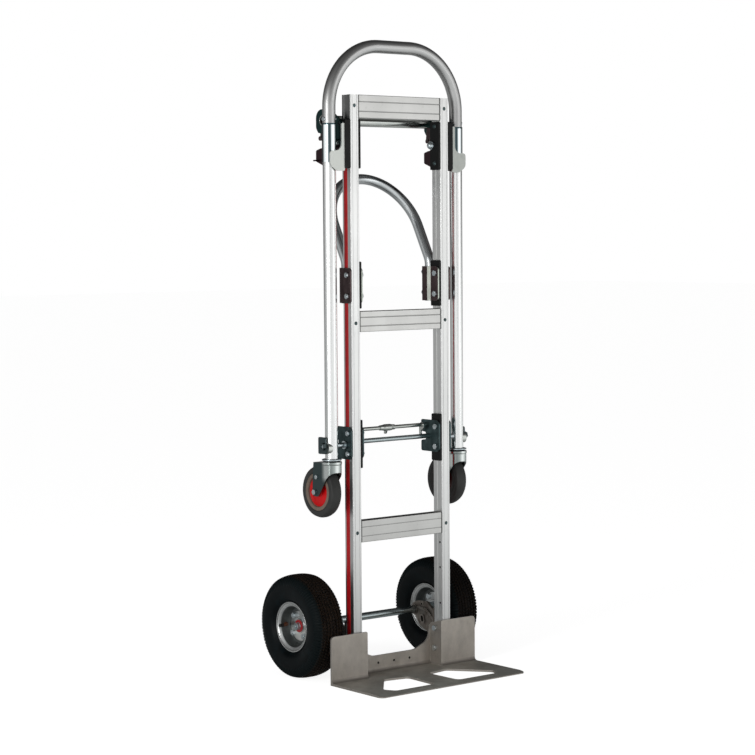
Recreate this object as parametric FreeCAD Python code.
import FreeCAD, Part
import math, os
from FreeCAD import Vector

# Convertible hand truck, millimetres.  +Z up, front (load side) is -Y, +X to the
# right when looking along +Y.  Origin on the floor, midway between the main
# wheels, in the centre plane of the side rails.  Paired pieces are built on the
# right (+X) and mirrored to the left.

os.makedirs("parts", exist_ok=True)

# ---------------------------------------------------------------- driving sizes
HEIGHT = 1551.0                  # floor to top of loop handle
SNUG = 0.02                      # clearance of close-fitting pieces
SLIP = 0.05                      # clearance of looser pieces

RAIL_X = 141.0                   # rail centre
RAIL_WIDTH, RAIL_DEPTH = 25.4, 33.0      # along X, along Y
RAIL_Z0, RAIL_Z1 = 8.0, 1416.0
RAIL_IN, RAIL_OUT = RAIL_X - RAIL_WIDTH / 2, RAIL_X + RAIL_WIDTH / 2
RAIL_FRONT, RAIL_BACK = -RAIL_DEPTH / 2, RAIL_DEPTH / 2
RAIL_WALL = 2.8                  # front and back walls
RAIL_INNER_WALL = 3.2
GROOVE_Y0, GROOVE_Y1 = -3.4, 10.4        # groove in the rail's outer face
GROOVE_DEPTH = 2.2
INSERT_Z1 = 1240.0               # top of red insert

PAD = 5.5                        # thickness of the pads on the rail's inner face
PLATE = 4.0                      # thickness of clamp and keeper plates
INNER_PLATE_X1 = RAIL_IN - PAD
INNER_PLATE_X0 = INNER_PLATE_X1 - PLATE
OUTER_PLATE_X0 = RAIL_OUT + 0.4
OUTER_PLATE_X1 = OUTER_PLATE_X0 + PLATE

WHEEL_X = 215.0
WHEEL_R = 127.0
WHEEL_HALF_WIDTH = 44.5
AXLE_Y, AXLE_Z = 112.0, WHEEL_R
AXLE_R = 7.95
AXLE_TUBE_R = 9.5                # plain tube round the axle between the brackets
AXLE_END = 226.0                 # half length of the full-diameter axle
AXLE_THREAD_R = 5.0
BRACKET_BOSS_X = 154.0           # outer end of the bracket boss

LEG_X, LEG_Y = 199.0, 8.0
LEG_R = 15.875
LEG_BORE_R = LEG_R - 2.1
LEG_Z0, LEG_Z1 = 545.0, 1347.0
LOOP_BEND_R = 150.0
PIVOT_Z = 1300.0
PIVOT_R = 6.35
SLEEVE_R0, SLEEVE_R1 = 15.95, 17.25      # bore and outside radius
SLEEVE_Z0, SLEEVE_Z1 = 1254.0, 1347.0
WEB_X0, WEB_X1 = 169.0, 172.5    # web of the top bracket
TUBE_Y, TUBE_Z, TUBE_R = 67.0, 1357.0, 12.5      # top cross tube


# ---------------------------------------------------------------- helpers
def box(x0, x1, y0, y1, z0, z1):
    return Part.makeBox(x1 - x0, y1 - y0, z1 - z0, Vector(x0, y0, z0))


def xcyl(x0, x1, y, z, radius):
    return Part.makeCylinder(radius, x1 - x0, Vector(x0, y, z), Vector(1, 0, 0))


def ycyl(y0, y1, x, z, radius):
    return Part.makeCylinder(radius, y1 - y0, Vector(x, y0, z), Vector(0, 1, 0))


def zcyl(z0, z1, x, y, radius):
    return Part.makeCylinder(radius, z1 - z0, Vector(x, y, z0), Vector(0, 0, 1))


def outline(points, place):
    """Face in a closed outline of points (u, v) or (u, v, corner radius)."""
    count = len(points)
    corners = [Vector(p[0], p[1], 0) for p in points]
    starts, ends, mids = [], [], []
    for i, corner in enumerate(corners):
        radius = points[i][2] if len(points[i]) > 2 else 0.0
        back = corners[i - 1] - corner
        ahead = corners[(i + 1) % count] - corner
        back_length, ahead_length = back.Length, ahead.Length
        back.normalize()
        ahead.normalize()
        angle = back.getAngle(ahead)
        if radius <= 0 or angle > math.radians(178.5):
            starts.append(corner)
            ends.append(corner)
            mids.append(None)
            continue
        # a radius too big for its neighbouring edges is reduced to fit
        trim = radius / math.tan(angle / 2)
        trim = min(trim, 0.499 * back_length, 0.499 * ahead_length)
        radius = trim * math.tan(angle / 2)
        inward = back + ahead
        inward.normalize()
        centre = corner + inward * (radius / math.sin(angle / 2))
        starts.append(corner + back * trim)
        ends.append(corner + ahead * trim)
        mids.append(centre - inward * radius)
    edges = []
    for i in range(count):
        if mids[i] is not None:
            edges.append(Part.Arc(place(starts[i]), place(mids[i]), place(ends[i])).toShape())
        following = starts[(i + 1) % count]
        if (following - ends[i]).Length > 1e-6:
            edges.append(Part.makeLine(place(ends[i]), place(following)))
    return Part.Face(Part.Wire(edges))


def prism_yz(points, x0, x1):
    return outline(points, lambda p: Vector(x0, p.x, p.y)).extrude(Vector(x1 - x0, 0, 0))


def prism_xz(points, y0, y1):
    return outline(points, lambda p: Vector(p.x, y0, p.y)).extrude(Vector(0, y1 - y0, 0))


def prism_xy(points, z0, z1):
    return outline(points, lambda p: Vector(p.x, p.y, z0)).extrude(Vector(0, 0, z1 - z0))


def revolve_x(points, y, z):
    """Turn points (x, radius) about a line along X through y, z."""
    face = outline(points, lambda p: Vector(p.x, y + p.y, z))
    return face.revolve(Vector(0, y, z), Vector(1, 0, 0), 360)


def revolve_z(points, x, y):
    """Turn points (radius, z) about a vertical line through x, y."""
    face = outline(points, lambda p: Vector(x + p.x, y, p.y))
    return face.revolve(Vector(x, y, 0), Vector(0, 0, 1), 360)


def offset(points, x, sign=1):
    """Move points given by their distance from x to the +X or -X side of it."""
    return [(x + sign * p[0],) + tuple(p[1:]) for p in points]


def hexagon(u, v, flats, turn=0.0):
    radius = flats / math.sqrt(3)
    angles = [math.radians(turn + 60 * i) for i in range(6)]
    return [(u + radius * math.cos(a), v + radius * math.sin(a)) for a in angles]


def hex_x(x0, x1, y, z, flats, turn=0.0):
    return prism_yz(hexagon(y, z, flats, turn), x0, x1)


def hex_y(y0, y1, x, z, flats):
    return prism_xz(hexagon(x, z, flats), y0, y1)


def sweep(edges, radius):
    """Round bar along a path."""
    path = Part.Wire(edges)
    first = edges[0]
    start = first.valueAt(first.FirstParameter)
    tangent = first.tangentAt(first.FirstParameter)
    section = Part.Wire([Part.Circle(start, tangent, radius).toShape()])
    return path.makePipeShell([section], True, True)


def arc(start, middle, end):
    return Part.Arc(start, middle, end).toShape()


def fuse(first, *others):
    shape = first
    for other in others:
        shape = shape.fuse(other)
    shape = shape.removeSplitter()
    return shape.Solids[0] if len(shape.Solids) == 1 else shape


def cut_all(shape, tools):
    for tool in tools:
        shape = shape.cut(tool)
    return shape


def mirror(shape):
    return shape.mirror(Vector(0, 0, 0), Vector(1, 0, 0))


def both(*right):
    """The same pieces on the right and, mirrored, on the left."""
    return list(right) + [mirror(s) for s in right]


def node(name, *shapes):
    solids = [solid for shape in shapes for solid in shape.Solids]
    shape = solids[0] if len(solids) == 1 else Part.makeCompound(solids)
    shape.exportStep("parts/" + name + ".step")


def node_pair(name, *right):
    """One node on each side."""
    node("right_" + name, *right)
    node("left_" + name, *[mirror(s) for s in right])


# ---------------------------------------------------------------- bolt positions
def x_holes(spots, radius, x0=100, x1=190):
    return [xcyl(x0, x1, y, z, radius) for y, z in spots]


# (y, z) of fasteners along X
CLAMP_BOLTS = [(-5.5, 985.0), (-5.5, 934.0)]
KEEPER_BOLTS = [(-5.0, 603.5), (-5.0, 553.5)]
TOP_SCREWS = [(0.0, 1347.0), (0.0, 1256.0)]
NOSE_BOLTS = [(0.5, 96.5), (0.5, 46.5)]
BRACKET_BOLT_Z = [80.0, 128.0]
FRONT_SCREW_Z = [1390.0, 869.0, 361.0]
INNER_HOLES = [(-6.0, 312.5), (-6.0, 249.5), (-6.0, 159.5)]

clamp_holes = x_holes(CLAMP_BOLTS, 4.1)
keeper_holes = x_holes(KEEPER_BOLTS, 4.1)
top_holes = x_holes(TOP_SCREWS, 3.1)
pivot_holes = x_holes([(LEG_Y, PIVOT_Z)], PIVOT_R + SLIP)
# these go through the rail's inner wall only
nose_holes = x_holes(NOSE_BOLTS, 4.1, 110, 140)
inner_holes = x_holes(INNER_HOLES, 2.8, 110, 140)
bracket_holes = [ycyl(5, RAIL_BACK + 7, RAIL_X, z, 3.6) for z in BRACKET_BOLT_Z]
front_holes = [ycyl(-20, -5, RAIL_X, z, 2.6) for z in FRONT_SCREW_Z]

# ---------------------------------------------------------------- side rails
# (x, y, corner radius), from the inner front corner
rail_section = [
    (RAIL_IN, RAIL_FRONT, 2.0),
    # two fine grooves in the front face
    (RAIL_IN + 5.6, RAIL_FRONT), (RAIL_IN + 5.6, RAIL_FRONT + 0.5),
    (RAIL_IN + 6.4, RAIL_FRONT + 0.5), (RAIL_IN + 6.4, RAIL_FRONT),
    (RAIL_OUT - 6.4, RAIL_FRONT), (RAIL_OUT - 6.4, RAIL_FRONT + 0.5),
    (RAIL_OUT - 5.6, RAIL_FRONT + 0.5), (RAIL_OUT - 5.6, RAIL_FRONT),
    (RAIL_OUT, RAIL_FRONT, 2.0),
    # groove for the red insert
    (RAIL_OUT, GROOVE_Y0), (RAIL_OUT - GROOVE_DEPTH, GROOVE_Y0),
    (RAIL_OUT - GROOVE_DEPTH, GROOVE_Y1), (RAIL_OUT, GROOVE_Y1),
    (RAIL_OUT, RAIL_BACK, 2.0), (RAIL_IN, RAIL_BACK, 2.0),
    # shallow recess in the inner face
    (RAIL_IN, 2.5), (RAIL_IN + 1.0, 2.5), (RAIL_IN + 1.0, -11.0), (RAIL_IN, -11.0)]
rail = prism_xy(rail_section, RAIL_Z0, RAIL_Z1)
rail = rail.cut(box(RAIL_IN + RAIL_INNER_WALL, RAIL_OUT - GROOVE_DEPTH - 2.4,
                    RAIL_FRONT + RAIL_WALL, RAIL_BACK - RAIL_WALL, RAIL_Z0, RAIL_Z1))
rail = cut_all(rail, clamp_holes + keeper_holes + top_holes + nose_holes
               + bracket_holes + front_holes + inner_holes + pivot_holes)
node_pair("rail", rail)

insert = box(RAIL_OUT - GROOVE_DEPTH + SNUG, RAIL_OUT + 0.35,
             GROOVE_Y0 + SLIP, GROOVE_Y1 - SLIP, RAIL_Z0, INSERT_Z1)
node("red_inserts", *both(cut_all(insert, clamp_holes + keeper_holes)))


# ---------------------------------------------------------------- crossmembers
def crossmember(z0, z1):
    """Hollow bar between the rails, with two fine grooves in its front face."""
    height = z1 - z0
    back = RAIL_FRONT + 24.0
    points = [(RAIL_FRONT, z0, 1.5)]
    for fraction in (0.285, 0.705):
        z = z0 + height * fraction
        points += [(RAIL_FRONT, z - 1.0), (RAIL_FRONT + 1.0, z - 1.0),
                   (RAIL_FRONT + 1.0, z + 1.0), (RAIL_FRONT, z + 1.0)]
    points += [(RAIL_FRONT, z1, 1.5), (back, z1, 1.5), (back, z0, 1.5)]
    bar = prism_yz(points, -RAIL_IN, RAIL_IN)
    return bar.cut(box(-RAIL_IN, RAIL_IN, RAIL_FRONT + 3.4, back - 2.6, z0 + 2.6, z1 - 2.6))


node("top_crossmember", crossmember(1361.0, RAIL_Z1))
node("middle_crossmember", crossmember(847.5, 897.5))
node("lower_crossmember", crossmember(337.0, 390.0))

# ---------------------------------------------------------------- noseplate
NOSE_X = 457.2 / 2               # half width
NOSE_FRONT, NOSE_BACK = -213.5, 25.0
FLOOR = 5.0                      # floor thickness
WING_Y0, WING_Y1 = -23.5, -18.5
WING_Z1 = 118.0
FLANGE_X0, FLANGE_X1 = 117.5, 124.0      # flange on the rail's inner side
SEAT_X = 156.0                   # outer edge of the part under the rail
WALL_Y0 = 20.0                   # front face of the upright wall between the rails

floor = prism_xy([(-NOSE_X, NOSE_FRONT, 13), (NOSE_X, NOSE_FRONT, 13), (NOSE_X, WING_Y1),
                  (SEAT_X, WING_Y1), (SEAT_X, NOSE_BACK, 3), (-SEAT_X, NOSE_BACK, 3),
                  (-SEAT_X, WING_Y1), (-NOSE_X, WING_Y1)], 0, FLOOR)
# bevel along the front edge
floor = floor.cut(prism_yz([(NOSE_FRONT - 1, 2.2), (NOSE_FRONT + 22, FLOOR + 0.01),
                            (NOSE_FRONT + 22, FLOOR + 5), (NOSE_FRONT - 1, FLOOR + 5)],
                           -NOSE_X - 1, NOSE_X + 1))
window = prism_xy([(32, -74, 14), (98, -62, 14), (175, -154, 12), (158, -182, 12),
                   (36, -182, 14)], -1, FLOOR + 1)
floor = cut_all(floor, both(window))

wing = prism_xz([(FLANGE_X0, 0), (NOSE_X, 0), (NOSE_X, WING_Z1, 9), (FLANGE_X0, WING_Z1, 3)],
                WING_Y0, WING_Y1)
# fills the gap between wing and rail
seat = box(FLANGE_X0, SEAT_X, WING_Y1 - 0.5, RAIL_FRONT - 0.1, 0, WING_Z1 - 1.0)
flange = prism_yz([(WING_Y1 - 0.5, 0), (NOSE_BACK, 0), (NOSE_BACK, 100), (17, 108, 6),
                   (WING_Y1 - 0.5, WING_Z1)], FLANGE_X0, FLANGE_X1)
bosses = [xcyl(FLANGE_X1 - 0.5, RAIL_IN - 0.1, y, z, 9.0) for y, z in NOSE_BOLTS]
# upright wall with a low middle, (x, z, corner radius)
wall = prism_xz([(-124, 0), (124, 0), (124, 103), (119, 101), (111, 64, 30), (66, 45.5, 40),
                 (-66, 45.5, 40), (-111, 64, 30), (-119, 101), (-124, 103)],
                WALL_Y0, NOSE_BACK)
wing_fillet = prism_yz([(WING_Y0 + 0.2, FLOOR - 0.5), (WING_Y0 - 20, FLOOR - 0.5),
                        (WING_Y0 - 20, FLOOR), (WING_Y0, FLOOR, 9), (WING_Y0, FLOOR + 20),
                        (WING_Y0 + 0.2, FLOOR + 20)], FLANGE_X0, NOSE_X)
wall_fillet = prism_yz([(WALL_Y0 + 0.2, FLOOR - 0.5), (-2, FLOOR - 0.5), (-2, FLOOR),
                        (WALL_Y0, FLOOR, 10), (WALL_Y0, FLOOR + 22),
                        (WALL_Y0 + 0.2, FLOOR + 22)], -120, 120)
nose = fuse(floor, *both(wing), *both(seat), *both(flange), wall, *both(*bosses),
            *both(wing_fillet), wall_fillet)
for hole in nose_holes:
    nose = cut_all(nose, both(hole))
nose = cut_all(nose, [ycyl(10, 30, x, 27.0, 3.3) for x in (-50.0, 0.0, 50.0)])
node("noseplate", nose)

nose_nut_x = RAIL_IN + RAIL_INNER_WALL
nose_bolts = [fuse(hex_x(FLANGE_X0 - 5.5, FLANGE_X0, y, z, 13.0, 15),
                   xcyl(FLANGE_X0 - 1.5, nose_nut_x, y, z, 4.0),
                   hex_x(nose_nut_x, nose_nut_x + 5.8, y, z, 11.5)) for y, z in NOSE_BOLTS]
node("noseplate_bolts", *both(*nose_bolts))

# ---------------------------------------------------------------- axle and brackets
axle_bore = xcyl(-190, 190, AXLE_Y, AXLE_Z, AXLE_R + SNUG)
FOOT_Y1 = RAIL_BACK + 6.0        # back face of the bracket foot

plate = prism_yz([(120, 127, 8), (118, 143, 8), (100, 150, 8), (64, 152, 9), (40, 133, 20),
                  (RAIL_BACK + 3, 112), (RAIL_BACK + 3, 62), (56, 74, 14), (90, 88, 16),
                  (110, 112, 8)], 143.0, 150.0)
boss = xcyl(140.5, BRACKET_BOSS_X, AXLE_Y, AXLE_Z, 13.0)
foot = box(RAIL_IN + 0.2, RAIL_OUT, RAIL_BACK + SLIP, FOOT_Y1, 62.0, 142.0)
rib = prism_yz([(RAIL_BACK + 5, 104, 3), (60, 134, 6), (96, 138, 5), (96, 133, 3),
                (62, 128, 6), (RAIL_BACK + 5, 98, 3)], 139.5, 144.0)
slot_rim = prism_yz([(88, 118, 7), (74, 118, 7), (68, 96, 7), (84, 96, 8)], 140.0, 144.0)
slot = prism_yz([(85, 115, 5), (76, 115, 5), (71.5, 99, 5), (82, 99, 5)], 138, 152)
small_hole = xcyl(138, 152, 84.0, 143.5, 3.0)
bracket = cut_all(fuse(plate, boss, foot, rib, slot_rim), [slot, small_hole, axle_bore])
for z, hole in zip(BRACKET_BOLT_Z, bracket_holes):
    bracket = bracket.cut(hole)
    # room for the bolt head
    bracket = bracket.cut(ycyl(FOOT_Y1, FOOT_Y1 + 6.5, RAIL_X, z, 7.0))
node_pair("axle_bracket", bracket)

bracket_bolts = [fuse(hex_y(FOOT_Y1, FOOT_Y1 + 4.5, RAIL_X, z, 11.0),
                      ycyl(RAIL_BACK - RAIL_WALL - 5.0, FOOT_Y1 + 0.5, RAIL_X, z, 3.5))
                 for z in BRACKET_BOLT_Z]
node("axle_bracket_bolts", *both(*bracket_bolts))

axle = fuse(xcyl(-AXLE_END, AXLE_END, AXLE_Y, AXLE_Z, AXLE_R),
            xcyl(-AXLE_END - 12, -AXLE_END + 1, AXLE_Y, AXLE_Z, AXLE_THREAD_R),
            xcyl(AXLE_END - 1, AXLE_END + 12, AXLE_Y, AXLE_Z, AXLE_THREAD_R))
axle_tube = xcyl(-140.3, 140.3, AXLE_Y, AXLE_Z, AXLE_TUBE_R).cut(axle_bore)
node("axle", axle, axle_tube)

thread_bore = xcyl(220, 240, AXLE_Y, AXLE_Z, AXLE_THREAD_R + SNUG)
washer_end = AXLE_END + 1.8
spacer = xcyl(BRACKET_BOSS_X, 177.4, AXLE_Y, AXLE_Z, 12.0).cut(axle_bore)
washer = xcyl(AXLE_END + SNUG, washer_end, AXLE_Y, AXLE_Z, 9.5).cut(thread_bore)
nut = hex_x(washer_end, AXLE_END + 9.5, AXLE_Y, AXLE_Z, 16.0, 10).cut(thread_bore)
node("axle_nuts_and_spacers", *both(spacer, washer, nut))

# ---------------------------------------------------------------- main wheels
HUB_BORE = 8.0
HUB_R = 13.0
HUB_END = 9.4                    # outer end of the hub, from the wheel centre
RIM_WEB = 7.0                    # outer face of each rim half's web
VALVE_BORE_R = 4.4

# (distance from wheel centre along X, radius, corner radius)
TYRE_FLANK = [
    (13, WHEEL_R, 30), (27, 125.0, 12), (37, 118.5, 12), (43, 108, 20),
    (WHEEL_HALF_WIDTH, 92, 30), (41.5, 75, 20), (34, 64.5, 8), (28.6, 61.2), (26.6, 57.2),
    (25.6, 52.8, 1.5), (19, 51.3, 1.5), (18.6, 56, 3), (24, 62, 8), (33, 72, 12),
    (36.5, 90, 20), (35, 104, 14), (28, 113, 12), (12, 117.5, 20), (0, 118.0)]
INNER_TUBE_FLANK = [(22, 62, 8), (31, 76, 12), (34, 92, 16), (30, 108, 12), (0, 115.5, 40)]
RIM_HALF = [
    (0.02, 50.6), (8, 48.4), (19, 50.2), (25.6, 52.2, 2), (27.2, 57, 2), (29.0, 61.0, 1),
    (31.2, 62.0, 1.0), (33.6, 61.6, 1), (33.2, 59.8), (31.0, 58.6, 1.2), (29.2, 55.8, 2),
    (27.2, 49.8, 2.5), (19.2, 47.6, 2), (9.2, 46.0, 2), (5.0, 44.0, 2), (4.6, 40.0, 2),
    (RIM_WEB, 36.0, 3), (RIM_WEB, 17.6, 1.5), (HUB_END, 17.0), (HUB_END, HUB_R + SLIP),
    (0.02, HUB_R + SLIP)]


def wheel_profile(flank):
    """A flank on the +X side of the wheel centre, then back along the -X side."""
    return offset(flank, WHEEL_X) + offset(flank[-2::-1], WHEEL_X, -1)


def valve_point(x, radius):
    """Point in the horizontal plane of the axle, behind it."""
    return Vector(WHEEL_X + x, AXLE_Y + radius, AXLE_Z)


def valve_bore(x, radius):
    return sweep([Part.makeLine(valve_point(x, radius), valve_point(15.9, 42.0))], VALVE_BORE_R)


def valve_stem():
    foot_end, bend_end = valve_point(15.5, 43.0), valve_point(22.0, 36.8)
    tip = valve_point(31.5, 35.34)
    stem = sweep([Part.makeLine(valve_point(10.5, 56.5), foot_end),
                  arc(foot_end, valve_point(17.6, 38.9), bend_end),
                  Part.makeLine(bend_end, tip)], 4.2)
    cap = Part.makeCylinder(4.0, 12.2, valve_point(31.3, 35.37), tip - bend_end)
    return fuse(stem, cap)


tyre = revolve_x(wheel_profile(TYRE_FLANK), AXLE_Y, AXLE_Z)
inner_tube = revolve_x(wheel_profile(INNER_TUBE_FLANK) + [(WHEEL_X, 55, 30)], AXLE_Y, AXLE_Z)
inner_tube = inner_tube.cut(valve_bore(8.0, 63.0))

rim_outer = revolve_x(offset(RIM_HALF, WHEEL_X), AXLE_Y, AXLE_Z)
rim_inner = revolve_x(offset(RIM_HALF, WHEEL_X, -1), AXLE_Y, AXLE_Z)
rim_bolts = []
web_face = RIM_WEB + SNUG
for i in range(4):
    angle = math.radians(50 + 90 * i)
    y, z = AXLE_Y + 30.5 * math.cos(angle), AXLE_Z + 30.5 * math.sin(angle)
    hole = xcyl(WHEEL_X - 12, WHEEL_X + 12, y, z, 4.0)
    rim_outer, rim_inner = rim_outer.cut(hole), rim_inner.cut(hole)
    rim_bolts.append(fuse(
        xcyl(WHEEL_X - 8, WHEEL_X + 15.5, y, z, 3.95),
        hex_x(WHEEL_X + web_face, WHEEL_X + 13.5, y, z, 13.0, 20),
        hex_x(WHEEL_X - 12.0, WHEEL_X - web_face, y, z, 13.0, 20)))
rim_outer = rim_outer.cut(valve_bore(10.1, 57.6))

hub = revolve_x(offset([(-37, HUB_BORE), (-37, 12.0, 0.6), (-12, 12.0), (-12, HUB_R),
                        (HUB_END, HUB_R), (HUB_END, HUB_BORE)], WHEEL_X), AXLE_Y, AXLE_Z)
cover_x0, cover_x1 = HUB_END + SNUG, HUB_END + 1.5
cover = revolve_x(offset([(cover_x0, HUB_BORE + 0.1), (cover_x0, 15.6, 0.4),
                          (cover_x1, 15.6, 0.8), (cover_x1, HUB_BORE + 0.1)], WHEEL_X),
                  AXLE_Y, AXLE_Z)
node_pair("tyre", tyre)
node_pair("inner_tube", inner_tube, valve_stem())
node_pair("rim_halves", rim_outer, rim_inner)
node_pair("hub", hub)
node_pair("bearing_cover", cover)
node_pair("rim_bolts", *rim_bolts)


# ---------------------------------------------------------------- plastic pads
def pad(x0, x1, z0, z1, holes):
    """Pad as deep as the rail."""
    shape = prism_yz([(RAIL_FRONT, z0, 3), (RAIL_BACK, z0, 3), (RAIL_BACK, z1, 3),
                      (RAIL_FRONT, z1, 3)], x0, x1)
    return cut_all(shape, holes)


node("clamp_pads", *both(pad(INNER_PLATE_X1, RAIL_IN, 518, 635, keeper_holes),
                         pad(INNER_PLATE_X1, RAIL_IN, 904, 1017, clamp_holes)))
node("top_pads_and_spacers",
     *both(pad(INNER_PLATE_X1, RAIL_IN, 1240, 1358, top_holes + pivot_holes),
           pad(RAIL_OUT, WEB_X0, 1240.5, 1358, top_holes + pivot_holes)))

# ---------------------------------------------------------------- curved rear handle
HANDLE_R = 12.7
HANDLE_X, HANDLE_Y = 132.0, 30.0
HANDLE_Z0 = 916.0
HANDLE_BEND_Z = 1016.0           # where the upright and tilted lines meet
HANDLE_TILT = math.radians(28.0)
HANDLE_STRAIGHT = 98.0           # from that meeting point to the top arc
TILT_BEND_R = 50.0

bend_y = HANDLE_Y + TILT_BEND_R
bend_z = HANDLE_BEND_Z - TILT_BEND_R * math.tan(HANDLE_TILT / 2)


def handle_side(x):
    """Points up one side: foot, bend start, middle and end, start of top arc."""
    def on_bend(angle):
        return Vector(x, bend_y - TILT_BEND_R * math.cos(angle),
                      bend_z + TILT_BEND_R * math.sin(angle))
    return (Vector(x, HANDLE_Y, HANDLE_Z0), Vector(x, HANDLE_Y, bend_z),
            on_bend(HANDLE_TILT / 2), on_bend(HANDLE_TILT), handle_slope(x, HANDLE_STRAIGHT))


def handle_slope(x, distance):
    """Point in the tilted plane, at a distance up the slope."""
    return Vector(x, HANDLE_Y + distance * math.sin(HANDLE_TILT),
                  HANDLE_BEND_Z + distance * math.cos(HANDLE_TILT))


left, right = handle_side(-HANDLE_X), handle_side(HANDLE_X)
apex = handle_slope(0, HANDLE_STRAIGHT + HANDLE_X)
node("curved_handle", sweep([
    Part.makeLine(left[0], left[1]), arc(*left[1:4]), Part.makeLine(left[3], left[4]),
    arc(left[4], apex, right[4]),
    Part.makeLine(right[4], right[3]), arc(*right[3:0:-1]), Part.makeLine(right[1], right[0])],
    HANDLE_R))

CLAMP_Z0, CLAMP_Z1 = 917, 1002
YOKE_BACK = 46.0
inner_clamp = prism_yz([(-16, CLAMP_Z0, 9), (14.5, CLAMP_Z0), (14.5, CLAMP_Z1),
                        (-16, CLAMP_Z1, 9)], INNER_PLATE_X0, INNER_PLATE_X1)
outer_clamp = prism_yz([(-17.5, CLAMP_Z0, 9), (21, CLAMP_Z0, 5), (21, CLAMP_Z1, 5),
                        (-17.5, CLAMP_Z1, 9)], OUTER_PLATE_X0, OUTER_PLATE_X1)
# yoke round the handle tube, (x, y, corner radius)
yoke = prism_xy([(INNER_PLATE_X1, 12.0), (INNER_PLATE_X0, 12.0), (112.8, 19.0, 1.5),
                 (112.8, 38.0, 3), (119.5, YOKE_BACK, 4), (147.5, YOKE_BACK, 12),
                 (147.5, 17.0), (INNER_PLATE_X1, 17.0)], CLAMP_Z0, CLAMP_Z1)
yoke = yoke.cut(zcyl(900, 1010, HANDLE_X, HANDLE_Y, HANDLE_R + SLIP))
yoke = yoke.cut(box(119, 140, YOKE_BACK - 2, 50, 952, 971))
node("curved_handle_clamps", *both(cut_all(fuse(inner_clamp, yoke), clamp_holes),
                                   cut_all(outer_clamp, clamp_holes)))


def plate_bolt(y, z, turn):
    """Bolt through both plates and the rail, head on the inner side."""
    return fuse(hex_x(INNER_PLATE_X0 - 5.3, INNER_PLATE_X0, y, z, 13.0, turn),
                xcyl(INNER_PLATE_X0 - 1, OUTER_PLATE_X1 + 5.5, y, z, 4.0),
                hex_x(OUTER_PLATE_X1, OUTER_PLATE_X1 + 4.5, y, z, 12.0, 25))


handle_bolts = [plate_bolt(y, z, 10) for y, z in CLAMP_BOLTS]
for z in (988.0, 937.0):
    handle_bolts.append(fuse(hex_y(YOKE_BACK, YOKE_BACK + 6, HANDLE_X - 4.0, z, 12.0),
                             ycyl(YOKE_BACK, YOKE_BACK + 8.5, HANDLE_X - 4.0, z, 3.8)))
node("curved_handle_bolts", *both(*handle_bolts))

# ---------------------------------------------------------------- keepers, tie rod
RELEASE_Y, RELEASE_Z, RELEASE_R = 38.0, 606.0, 4.7
# plate with a notch open to the back, (y, z, corner radius)
KEEPER = [(-17, 540, 12), (52, 540, 5), (52, 566, 4), (44, 568, 2), (34, 568, 5),
          (34, 588, 5), (44, 588, 2), (52, 590, 4), (52, 619, 4), (-17, 619, 12)]


def keeper(x0, x1):
    return cut_all(prism_yz(KEEPER, x0, x1), keeper_holes)


rod_hole = xcyl(INNER_PLATE_X0 - 1, INNER_PLATE_X1 + 1, RELEASE_Y, RELEASE_Z, RELEASE_R + SLIP)
node("keeper_plates", *both(keeper(INNER_PLATE_X0, INNER_PLATE_X1).cut(rod_hole),
                            keeper(OUTER_PLATE_X0, OUTER_PLATE_X1)))
node("keeper_bolts", *both(*[plate_bolt(y, z, 5) for y, z in KEEPER_BOLTS]))
node("lower_tie_rod", xcyl(-INNER_PLATE_X0, INNER_PLATE_X0, 26.0, 578.5, 5.9))

# ---------------------------------------------------------------- release rod
# (y, z, corner radius) from the rod's centre
FINGER = [(-9, 2, 6), (4, 9, 6), (10, -4, 5), (9, -32, 4), (1, -34, 2), (2, -14, 4), (-8, -8, 4)]
TAIL = [(-4, -6), (5, -5), (7, -15, 2), (1, -16, 2)]


def beside_rod(points, x0, x1):
    placed = [(RELEASE_Y + p[0], RELEASE_Z + p[1]) + tuple(p[2:]) for p in points]
    return prism_yz(placed, x0, x1)


rod_end = INNER_PLATE_X1 + 4.0
rod = xcyl(-rod_end, rod_end, RELEASE_Y, RELEASE_Z, RELEASE_R)
node("release_rod", fuse(rod, *[beside_rod(FINGER, x, x + 3.5) for x in (108.0, -111.5)]))

grip_bore = RELEASE_R + SNUG
# (x, radius, corner radius)
grip = revolve_x([(-27, grip_bore), (-27, 6.4, 0.6), (-19, 6.8, 2), (-11, 8.4, 4), (6, 8.4, 4),
                  (13, 6.8, 2), (20, 6.4, 0.6), (20, grip_bore)], RELEASE_Y, RELEASE_Z)
tail = beside_rod(TAIL, -8.0, -3.5).cut(xcyl(-12, 6, RELEASE_Y, RELEASE_Z, grip_bore))
node("release_trigger", fuse(grip, tail))

# ---------------------------------------------------------------- top brackets
web = prism_yz([(-14, 1236, 4), (60, 1246, 6), (95, 1259, 5), (95, 1285.4, 4), (80, 1289.4, 2),
                (56.4, 1293.2, 6.4), (56.4, 1322, 8), (86, 1328, 3), (94, 1340, 10),
                (94, 1384, 27), (40, 1384, 27), (-14, 1347, 3)], WEB_X0, WEB_X1)
web = web.cut(xcyl(150, 190, TUBE_Y, TUBE_Z, TUBE_R + SNUG))
web = cut_all(web, pivot_holes)
front_flange = prism_xz([(WEB_X0, 1234, 3), (192, 1234, 14), (213, 1248, 16), (213, 1282, 8),
                         (178, 1282, 18), (178, 1347, 3), (WEB_X0, 1347)], -14.0, -10.5)
tab = box(WEB_X0 + 0.5, 181.3, 84.0, 95.0, 1259.5, 1263.0)
node_pair("top_bracket", cut_all(fuse(web, front_flange, tab), top_holes))

cross_end = WEB_X1 + 1.0
cross_bore = xcyl(-cross_end - 1, cross_end + 1, TUBE_Y, TUBE_Z, TUBE_R - 2.0)
node("top_cross_tube", xcyl(-cross_end, cross_end, TUBE_Y, TUBE_Z, TUBE_R).cut(cross_bore))

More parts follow.
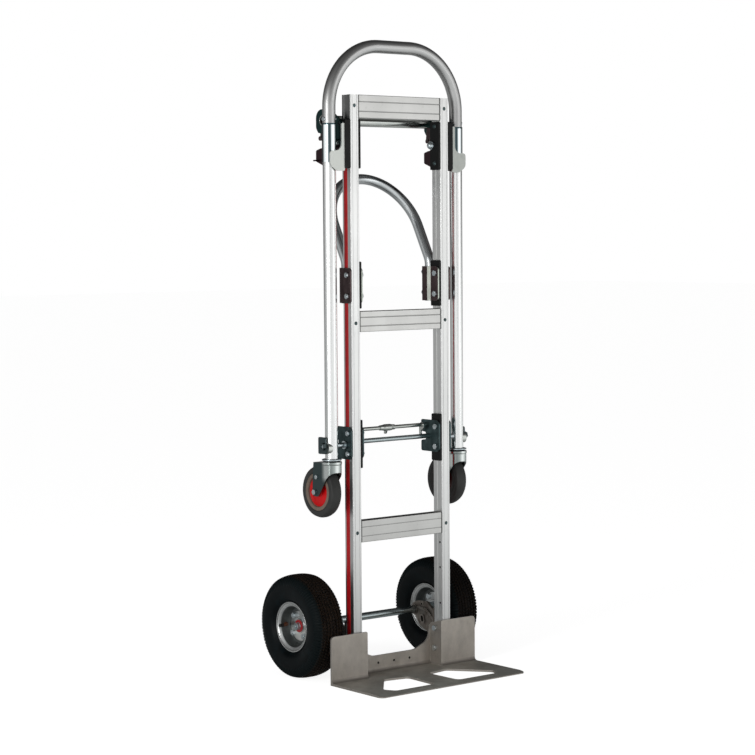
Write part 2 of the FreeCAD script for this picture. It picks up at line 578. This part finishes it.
front_screws = []
for z in FRONT_SCREW_Z:
    head = Part.makeCone(3.0, 4.6, 1.3, Vector(RAIL_X, RAIL_FRONT - 1.3, z), Vector(0, 1, 0))
    front_screws.append(fuse(head, ycyl(RAIL_FRONT - 0.2, RAIL_FRONT + 9, RAIL_X, z, 2.5)))
top_screws = []
for y, z in TOP_SCREWS:
    head = Part.makeCone(5.2, 3.4, 2.6, Vector(INNER_PLATE_X1, y, z), Vector(-1, 0, 0))
    top_screws.append(fuse(head, xcyl(INNER_PLATE_X1 - 1.0, WEB_X1 + 3.6, y, z, 3.0),
                           xcyl(WEB_X1, WEB_X1 + 3.4, y, z, 5.4)))
node("frame_screws", *both(*front_screws), *both(*top_screws))

# latch pawl, turns on the cross tube
LATCH_X0, LATCH_X1 = 165.2, 168.6
latch = fuse(xcyl(LATCH_X0, LATCH_X1, TUBE_Y, TUBE_Z, 17.0),
             prism_yz([(TUBE_Y - 6, 1346), (TUBE_Y + 12, 1350), (83, 1316, 5),
                       (78, 1307.6, 5), (70, 1309.5, 5)], LATCH_X0, LATCH_X1))
latch = latch.cut(xcyl(LATCH_X0 - 1, LATCH_X1 + 1, TUBE_Y, TUBE_Z, TUBE_R + SLIP))
node_pair("top_latch", fuse(latch, xcyl(LATCH_X0 - 3.0, 175.0, 76.0, 1314.0, 5.5)))

# ---------------------------------------------------------------- pivots
sleeve_body = zcyl(SLEEVE_Z0, SLEEVE_Z1, LEG_X, LEG_Y, SLEEVE_R1)
sleeve_bore = zcyl(SLEEVE_Z0 - 1, SLEEVE_Z1 + 1, LEG_X, LEG_Y, SLEEVE_R0)
node_pair("pivot_sleeve", sleeve_body.cut(sleeve_bore))

# stud and collar end against the sleeve's curved side
stud = fuse(xcyl(114.0, 186.0, LEG_Y, PIVOT_Z, PIVOT_R),
            xcyl(WEB_X1 + 0.4, 186.0, LEG_Y, PIVOT_Z, 11.0)).cut(sleeve_body)
node("pivot_studs", *both(stud))

DOME_X = 116.6                   # inner end of the nut's hexagon
dome = Part.makeSphere(8.6, Vector(DOME_X, LEG_Y, PIVOT_Z))
dome = dome.common(box(100, 117, -20, 40, 1280, 1320))
dome_nut = fuse(hex_x(DOME_X, INNER_PLATE_X1 - 0.3, LEG_Y, PIVOT_Z, 19.0, 12), dome)
node("pivot_dome_nuts", *both(dome_nut.cut(xcyl(114.0, 130, LEG_Y, PIVOT_Z, PIVOT_R))))

# ---------------------------------------------------------------- swinging caster frame
STUB_Z = 575.0
STUB_END_R = 5.0
STUB_X0 = 159.0
SIDE_PLATE_X0, SIDE_PLATE_X1 = 218.4, 222.0
NECK_PIN_Z, NECK_PIN_R = 1357.0, 3.5

stub_bore = xcyl(170, 235, LEG_Y, STUB_Z, STUB_END_R + SNUG)
leg = zcyl(LEG_Z0, LEG_Z1, LEG_X, LEG_Y, LEG_R)
leg = leg.cut(zcyl(LEG_Z0 - 1, LEG_Z1 + 1, LEG_X, LEG_Y, LEG_BORE_R))
node_pair("leg_tube", leg.cut(stub_bore))

top_z = HEIGHT - LEG_R           # centre line of the crossbar
loop_z = top_z - LOOP_BEND_R
loop_x = LEG_X - LOOP_BEND_R
diagonal = LOOP_BEND_R * math.sqrt(0.5)


def loop_corner(side):
    """Leg foot, then start, middle and end of the bend; side is -1 left, 1 right."""
    return (Vector(side * LEG_X, LEG_Y, LEG_Z1), Vector(side * LEG_X, LEG_Y, loop_z),
            Vector(side * (loop_x + diagonal), LEG_Y, loop_z + diagonal),
            Vector(side * loop_x, LEG_Y, top_z))


left, right = loop_corner(-1), loop_corner(1)
loop = sweep([Part.makeLine(left[0], left[1]), arc(*left[1:]), Part.makeLine(left[3], right[3]),
              arc(*right[:0:-1]), Part.makeLine(right[1], right[0])], LEG_R)
node("loop_handle", loop.cut(xcyl(-230, 230, LEG_Y, NECK_PIN_Z, NECK_PIN_R + SNUG)))

leg_in, leg_out = LEG_X - LEG_R, LEG_X + LEG_R
neck_pin = fuse(xcyl(leg_in - 1.6, leg_out + 1.6, LEG_Y, NECK_PIN_Z, NECK_PIN_R),
                xcyl(leg_out, leg_out + 2.4, LEG_Y, NECK_PIN_Z, 5.4),
                xcyl(leg_in - 2.4, leg_in, LEG_Y, NECK_PIN_Z, 5.4))
node("neck_pins", *both(neck_pin))

leg_body = zcyl(540, 600, LEG_X, LEG_Y, LEG_R)
stub = xcyl(STUB_X0, 186.0, LEG_Y, STUB_Z, 6.35).cut(leg_body)
stub = fuse(stub, xcyl(STUB_X0, STUB_X0 + 3.2, LEG_Y, STUB_Z, 9.8),
            xcyl(180.0, 226.5, LEG_Y, STUB_Z, STUB_END_R))
node("leg_stubs", *both(stub))

side_plate = prism_yz([(1.2, 557, 3), (31, 556, 4), (31, 597, 4), (3.5, 597, 5)],
                      SIDE_PLATE_X0, SIDE_PLATE_X1).cut(stub_bore)
saddle = prism_yz([(-7, 557, 11), (20, 557, 11), (20, 583, 11), (-7, 583, 11)],
                  206.0, SIDE_PLATE_X0).cut(leg_body).cut(stub_bore)
stub_nut = hex_x(SIDE_PLATE_X1, SIDE_PLATE_X1 + 6.5, LEG_Y, STUB_Z, 16.0, 15).cut(stub_bore)
node("stub_plates_and_nuts", *both(side_plate, saddle, stub_nut))

# plug in the leg, raceway top and pin, fixed to the leg
kingpin = fuse(zcyl(LEG_Z0, 562.0, LEG_X, LEG_Y, LEG_BORE_R - SNUG),
               revolve_z([(0, LEG_Z0), (0, 539.2), (19, 539.2), (24, 540.6, 1),
                          (24, 543.4, 1), (19, LEG_Z0)], LEG_X, LEG_Y),
               zcyl(520.5, 540.0, LEG_X, LEG_Y, 6.0), zcyl(520.5, 525.4, LEG_X, LEG_Y, 9.5))
node("caster_kingpins", *both(kingpin))

# ---------------------------------------------------------------- casters
CASTER_Y, CASTER_Z = LEG_Y + 40.0, 462.0         # caster axle, trailing the leg
CASTER_R = 63.5
FORK_X = 21.4                    # half width of the fork
FORK_WALL = 3.0
# (distance from caster centre along X, radius, corner radius)
CASTER_TYRE = [(9, 46.02), (14, 46.02, 1), (16.0, 49, 3), (14.5, 59.5, 6), (5, CASTER_R, 14)]
CASTER_RIM = [(14.6, 46.0, 0.8), (14.6, 37.5, 1.5), (9, 36.02)]
CASTER_HUB = [(17.2, 4.06), (17.2, 10.0, 1), (10, 13, 3), (7, 30, 4), (9.5, 36.0)]


def caster_turned(flank):
    points = offset(flank, LEG_X, -1) + offset(flank[::-1], LEG_X)
    return revolve_x(points, CASTER_Y, CASTER_Z)


def fork_block(inset, radius, back, z0, z1):
    """Block with a rounded front, inset from the fork's outside."""
    half, front = FORK_X - inset, LEG_Y - 22 + inset
    return prism_xy([(LEG_X - half, front, radius), (LEG_X + half, front, radius),
                     (LEG_X + half, back), (LEG_X - half, back)], z0, z1)


def caster_fork():
    crown = revolve_z([(6.06, 526.0), (16, 526.0), (24.5, 530.6, 3), (24.5, 537.4, 1.5),
                       (18, 538.8), (6.06, 538.8)], LEG_X, LEG_Y)
    shell = fork_block(0, 17, CASTER_Y + 20, 440, 534.5)
    shell = shell.cut(fork_block(FORK_WALL, 14, CASTER_Y + 21, 439, 534.5 - FORK_WALL))
    side_view = prism_yz([(LEG_Y - 24, 536), (LEG_Y - 24, 513, 2), (-6, 506, 8), (9, 489, 14),
                          (22, 468, 16), (CASTER_Y - 13, CASTER_Z - 10.5, 9),
                          (CASTER_Y + 10.5, CASTER_Z - 10.5, 9), (CASTER_Y + 8, 500, 20),
                          (CASTER_Y + 5, 536)], LEG_X - 30, LEG_X + 30)
    shell = shell.common(side_view).cut(zcyl(500, 550, LEG_X, LEG_Y, 10.5))
    return fuse(crown, shell).cut(xcyl(LEG_X - 30, LEG_X + 30, CASTER_Y, CASTER_Z, 4.02))


fork_in, fork_out = LEG_X - FORK_X, LEG_X + FORK_X
caster_axle = fuse(xcyl(LEG_X - 24.0, LEG_X + 24.6, CASTER_Y, CASTER_Z, 4.0),
                   hex_x(fork_out, fork_out + 5, CASTER_Y, CASTER_Z, 12.0),
                   hex_x(fork_in - 5, fork_in, CASTER_Y, CASTER_Z, 12.0, 20))
side_bolt = hex_x(fork_out + SNUG, LEG_X + 25.0, CASTER_Y - 8, CASTER_Z + 37, 10.0, 10)
caster_hub = caster_turned(CASTER_HUB)
node_pair("caster_fork", caster_fork())
node_pair("caster_axle", caster_axle, side_bolt)
node_pair("caster_tyre", caster_turned(CASTER_TYRE))
node_pair("caster_hub", caster_hub, caster_turned(CASTER_RIM).cut(caster_hub))
